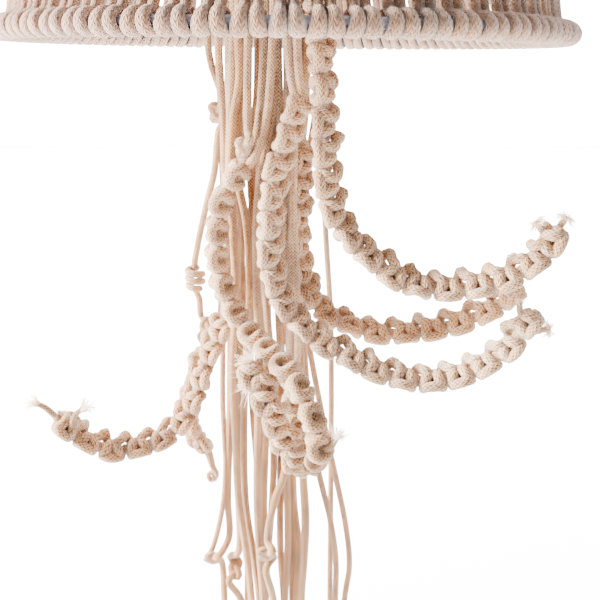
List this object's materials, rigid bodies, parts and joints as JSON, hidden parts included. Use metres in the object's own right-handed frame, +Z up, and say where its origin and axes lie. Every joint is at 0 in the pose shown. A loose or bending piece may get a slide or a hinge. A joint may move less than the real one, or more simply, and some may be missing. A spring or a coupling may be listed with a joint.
{
  "type": "macrame dreamcatcher hanging and hoop",
  "caption": "Hanging of knotted cotton cord: cords hitched round a level hoop rise to a gather, with a hanging bundle and curling knotted arms through the middle.",
  "frame": {"origin": "inside top of the hanging loop, where a hook bears", "axes": "+Z up, -Y towards the viewer, +X to the viewer's right; the plane of the hoop is level, 348.3 mm below the origin"},
  "size_m": [0.3117, 0.3112, 0.8133],
  "materials": {
    "cotton_cord": "braided cotton, matte",
    "ring_paint": "pale grey paint, satin"
  },
  "bodies": {
    "root": {"hoop": "ring_paint", "hanging_loop": "cotton_cord", "gather_and_bundle": "cotton_cord", "bell_cords_1": "cotton_cord", "bell_cords_2": "cotton_cord", "bell_cords_3": "cotton_cord", "bell_cords_4": "cotton_cord", "bell_cords_5": "cotton_cord", "bell_cords_6": "cotton_cord", "bell_cords_7": "cotton_cord", "bell_cords_8": "cotton_cord", "arm_a": "cotton_cord", "arm_b": "cotton_cord", "arm_c": "cotton_cord", "arm_d": "cotton_cord", "arm_e": "cotton_cord", "arm_f": "cotton_cord", "arm_g": "cotton_cord"}
  },
  "joints": []
}
